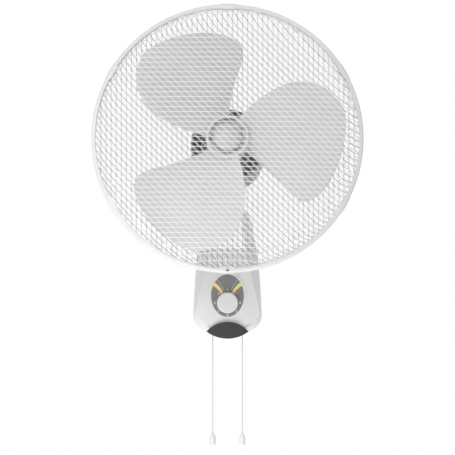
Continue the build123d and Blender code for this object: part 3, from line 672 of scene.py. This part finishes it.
def bladeMesh(name):
    edge = bladeEdge()
    centre = sum(edge, Vector((0, 0))) / len(edge)
    points, faces = [], []
    count, rings = len(edge), blade["rings"]
    shares = [math.sin(ring / rings * math.pi / 2) for ring in range(1, rings + 1)]
    layers = []
    for side in (-1, 1):
        layer = [[len(points)]]
        half = side * blade["thickness"] / 2
        points.append((centre.x, bladeFall(*centre) + half, centre.y))
        for share in shares[:-1]:
            thick = half * math.sqrt(1 - share ** blade["edgeSquareness"])
            layer.append(list(range(len(points), len(points) + count)))
            for corner in edge:
                spot = centre.lerp(corner, share)
                points.append((spot.x, bladeFall(*spot) + thick, spot.y))
        layers.append(layer)
    rim = list(range(len(points), len(points) + count))
    for corner in edge:
        points.append((corner.x, bladeFall(*corner), corner.y))
    for layer in layers:
        middle = layer[0][0]
        for side in range(count):
            after = (side + 1) % count
            faces.append([middle, layer[1][side], layer[1][after]])
            for low, high in zip(layer[1:], layer[2:] + [rim]):
                faces.append([low[side], high[side], high[after], low[after]])
    return meshFrom(name, points, faces)


impellerHub = spinMesh("impellerHub", hubCorners, hub["segments"], "blade", headPlace)
addPiece("impellerHub", impellerHub, "rotor", "blade_plastic", "impeller")
for number in range(blade["count"]):
    oneBlade = bladeMesh(f"fanBlade{number + 1}")
    turn = -360 / blade["count"] * number
    oneBlade.transform(headPlace @ Matrix.Rotation(math.radians(turn), 4, "Y"))
    tidyNormals(oneBlade)
    oneBlade.materials.append(finishes["blade"])
    addPiece(f"fanBlade{number + 1}", oneBlade, "rotor", "blade_plastic")

# the spinner's dome, then its back round the hub's boss and its socket for the shaft
spinner = {"profile": ((0, -31, 0), (10.5, -30.4, 5), (20.5, -25.5, 4.5), (25, -18, 4),
                       (25, -10.3, 0.6), (12.3, -10.3, 0.4), (12.3, -14.2, 0.4), (4, -14.2, 0),
                       (4, -24, 0), (0, -24, 0)),
           "segments": 64}
# the spinner's finish is darker than the hub's plastic, a painted shade on the dome
spinnerMesh = spinMesh("spinnerNut", spinner["profile"], spinner["segments"], "spinner", headPlace)
addPiece("spinnerNut", spinnerMesh, "rotor", "spinner_plastic", "spinner_nut")
print("impeller shaped")


# print on the label: gold stripes, dotted lines and the dial's numbers
label = {"face": -92.8, "halfWidth": 27.5, "halfHeight": 35.7, "middle": -1.9, "ink": 0.12,
         "upright": 90.0}
dial = {"drop": -13.7, "numbers": "01230123", "numberRadius": 21.2, "numberSize": 5.4,
        "numberBold": 0.1, "numberSmoothness": 3, "first": 90}
inkMiddle = (label["face"] - label["ink"] / 2) * mm


def onLabel(x, z):
    rise = z - label["middle"]
    overEdge = max(math.hypot(x / label["halfWidth"], rise / label["halfHeight"]), 1)
    return x / overEdge, label["middle"] + rise / overEdge


def alongBow(ends, share):
    start, middle, end = (Vector(point) for point in ends)
    return (1 - share) ** 2 * start + 2 * share * (1 - share) * middle + share**2 * end


def inkMesh(name, outline, finish):
    front, back = label["face"] - label["ink"], label["face"]
    count = len(outline)
    points = [(x, front, z) for x, z in outline] + [(x, back, z) for x, z in outline]
    half = count // 2
    faces = []
    for step in range(half - 1):
        quad = [step, step + 1, count - 2 - step, count - 1 - step]
        faces.append(quad)
        faces.append([spot + count for spot in reversed(quad)])
    for step in range(count):
        after = (step + 1) % count
        faces.append([step, step + count, after + count, after])
    mesh = meshFrom(name, points, faces)
    tidyNormals(mesh)
    mesh.materials.append(finishes[finish])
    return mesh


stripe = {"bow": ((25.5, 19.0), (12.5, 11.5), (8.6, 0.5)), "wide": 6.6, "narrow": 4.3,
          "steps": 14, "ahead": 0.01}
for hand, sideName in ((-1, "left"), (1, "right")):
    upper, lower = [], []
    for step in range(stripe["steps"] + 1):
        share = step / stripe["steps"]
        spot = alongBow(stripe["bow"], share)
        ahead = alongBow(stripe["bow"], share + stripe["ahead"]) - spot
        across = Vector((-ahead.y, ahead.x)).normalized()
        width = stripe["wide"] + (stripe["narrow"] - stripe["wide"]) * share
        for line, side in ((upper, 1), (lower, -1)):
            x, z = onLabel(*(spot + across * side * width / 2))
            line.append((hand * x, z))
    stripeMesh = inkMesh(sideName + "GoldStripe", upper + lower[::-1], "gold")
    addPiece(sideName + "GoldStripe", stripeMesh, "base", "label_grey")

dots = {"bow": ((17.6, 24.5), (8.2, 15.2), (5.4, 3.9)), "count": 10, "radius": 0.62, "sides": 10}
dotTree, given, result = newTree("labelDots", (
    ("Start", "Vector"), ("Middle", "Vector"), ("End", "Vector"), ("Count", "Int"),
    ("Radius", "Float"), ("Sides", "Int"), ("Depth", "Float"), ("Finish", "Material")))
wanted = given.outputs
bowLine = dotTree.nodes.new("GeometryNodeCurveQuadraticBezier")
for end in ("Start", "Middle", "End"):
    link(dotTree, wanted[end], bowLine.inputs[end])
spots = dotTree.nodes.new("GeometryNodeCurveToPoints")
link(dotTree, bowLine.outputs[0], spots.inputs["Curve"])
link(dotTree, wanted["Count"], spots.inputs["Count"])
dot = dotTree.nodes.new("GeometryNodeMeshCylinder")
link(dotTree, wanted["Sides"], dot.inputs["Vertices"])
link(dotTree, wanted["Radius"], dot.inputs["Radius"])
link(dotTree, wanted["Depth"], dot.inputs["Depth"])
faceOut = dotTree.nodes.new("GeometryNodeTransform")
faceOut.inputs["Rotation"].default_value = (math.radians(label["upright"]), 0, 0)
link(dotTree, dot.outputs[0], faceOut.inputs["Geometry"])
placeDots = dotTree.nodes.new("GeometryNodeInstanceOnPoints")
link(dotTree, spots.outputs[0], placeDots.inputs["Points"])
link(dotTree, faceOut.outputs[0], placeDots.inputs["Instance"])
realDots = dotTree.nodes.new("GeometryNodeRealizeInstances")
link(dotTree, placeDots.outputs[0], realDots.inputs[0])
dotFinish = dotTree.nodes.new("GeometryNodeSetMaterial")
link(dotTree, realDots.outputs[0], dotFinish.inputs["Geometry"])
link(dotTree, wanted["Finish"], dotFinish.inputs["Material"])
link(dotTree, dotFinish.outputs[0], result.inputs[0])

for hand, sideName in ((-1, "left"), (1, "right")):
    ends = [(hand * x * mm, inkMiddle, z * mm) for x, z in dots["bow"]]
    dotMesh = growMesh(sideName + "DottedLine", dotTree, {
        "Start": ends[0], "Middle": ends[1], "End": ends[2], "Count": dots["count"],
        "Radius": dots["radius"] * mm, "Sides": dots["sides"], "Depth": label["ink"] * mm,
        "Finish": finishes["mark"]})
    addPiece(sideName + "DottedLine", dotMesh, "base", "label_grey")

for number, digit in enumerate(dial["numbers"]):
    words = bpy.data.curves.new(f"dialNumber{number}", "FONT")
    words.body = digit
    words.size = dial["numberSize"] * mm
    words.align_x = "CENTER"
    words.align_y = "CENTER"
    words.extrude = label["ink"] / 2 * mm
    words.offset = dial["numberBold"] * mm
    words.resolution_u = dial["numberSmoothness"]
    written = bpy.data.objects.new(f"dialNumber{number}Text", words)
    bpy.context.collection.objects.link(written)
    bpy.context.view_layer.update()
    numberMesh = bpy.data.meshes.new_from_object(written)
    bpy.data.objects.remove(written)
    turn = math.radians(dial["first"] - 360 / len(dial["numbers"]) * number)
    x = dial["numberRadius"] * math.cos(turn)
    z = dial["drop"] + dial["numberRadius"] * math.sin(turn)
    numberMesh.transform(Matrix.Translation((x * mm, inkMiddle, z * mm))
                         @ Matrix.Rotation(math.radians(label["upright"]), 4, "X"))
    numberMesh.materials.clear()
    numberMesh.materials.append(finishes["mark"])
    addPiece(f"dialNumber{number}", numberMesh, "base", "label_grey")
print("label printed")


# cords take their finish and their body, and stand in for the CAD cords
for cord, name, x in ((speedCord, "speed", -1), (swingCord, "swing", 1)):
    cord.data.materials.append(finishes["cord"])
    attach(cord, name + "_pull")
    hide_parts(name + "_cord")
print("cords dressed")


# studio: pale floor, white surroundings, soft lights
studio = {"floorHeight": -2.2, "floorHalf": 3.0, "floorShade": 0.93, "floorMottle": 0.02,
          "floorCloud": 3.0, "floorDetail": 2.0, "floorGlow": 0.4, "floorRoughness": 0.9,
          "ambient": 0.52, "aim": (0, -0.2, 0.15)}
lamps = (
    {"name": "keyLamp", "place": (-0.9, -2.7, 1.55), "size": 1.5, "power": 33.0},
    {"name": "lowLamp", "place": (-0.55, -1.3, -1.65), "size": 2.0, "power": 30.0},
    {"name": "backLamp", "place": (0.6, 2.2, 1.8), "size": 2.0, "power": 10.0},
)

world = bpy.data.worlds.new("studioWorld")
bpy.context.scene.world = world
world.use_nodes = True


# a strength that is bright to the camera, also by way of metal and glass, and dim as a light
def whiteToCamera(tree, dim, bright, strength):
    ray = tree.nodes.new("ShaderNodeLightPath").outputs
    shown = calc(tree, "MAXIMUM", ray["Is Camera Ray"], ray["Is Glossy Ray"])
    shown = calc(tree, "MAXIMUM", shown, ray["Is Transmission Ray"])
    level = tree.nodes.new("ShaderNodeMapRange")
    level.inputs["To Min"].default_value = dim
    level.inputs["To Max"].default_value = bright
    tree.links.new(shown, level.inputs["Value"])
    tree.links.new(level.outputs["Result"], strength)


sky = world.node_tree.nodes["Background"]
sky.inputs["Color"].default_value = (1, 1, 1, 1)
whiteToCamera(world.node_tree, studio["ambient"], 1.0, sky.inputs["Strength"])

floorFinish, floorShader, floorPlace = startFinish("paleFloor", studio["floorRoughness"])
floorCloud = addNoise(floorFinish, floorPlace, studio["floorCloud"], studio["floorDetail"])
addColour(floorFinish, floorShader, floorCloud, (studio["floorShade"],) * 3,
          (studio["floorShade"] + studio["floorMottle"],) * 3)
floorShader.inputs["Emission Color"].default_value = (1, 1, 1, 1)
whiteToCamera(floorFinish.node_tree, 0.0, studio["floorGlow"],
              floorShader.inputs["Emission Strength"])
half, low = studio["floorHalf"], studio["floorHeight"]
floorMesh = bpy.data.meshes.new("studioFloor")
floorCorners = [(-half, -half, low), (half, -half, low), (half, half, low), (-half, half, low)]
floorMesh.from_pydata(floorCorners, [], [(0, 1, 2, 3)])
floorMesh.materials.append(floorFinish)
floor = bpy.data.objects.new("studioFloor", floorMesh)
bpy.context.collection.objects.link(floor)

for lamp in lamps:
    light = bpy.data.lights.new(lamp["name"], "AREA")
    light.shape = "DISK"
    light.size = lamp["size"]
    light.energy = lamp["power"]
    lampObject = bpy.data.objects.new(lamp["name"], light)
    lampObject.location = lamp["place"]
    lampObject.rotation_mode = "QUATERNION"
    towards = Vector(studio["aim"]) - Vector(lamp["place"])
    lampObject.rotation_quaternion = towards.to_track_quat("-Z", "Y")
    bpy.context.collection.objects.link(lampObject)
print("studio lit")
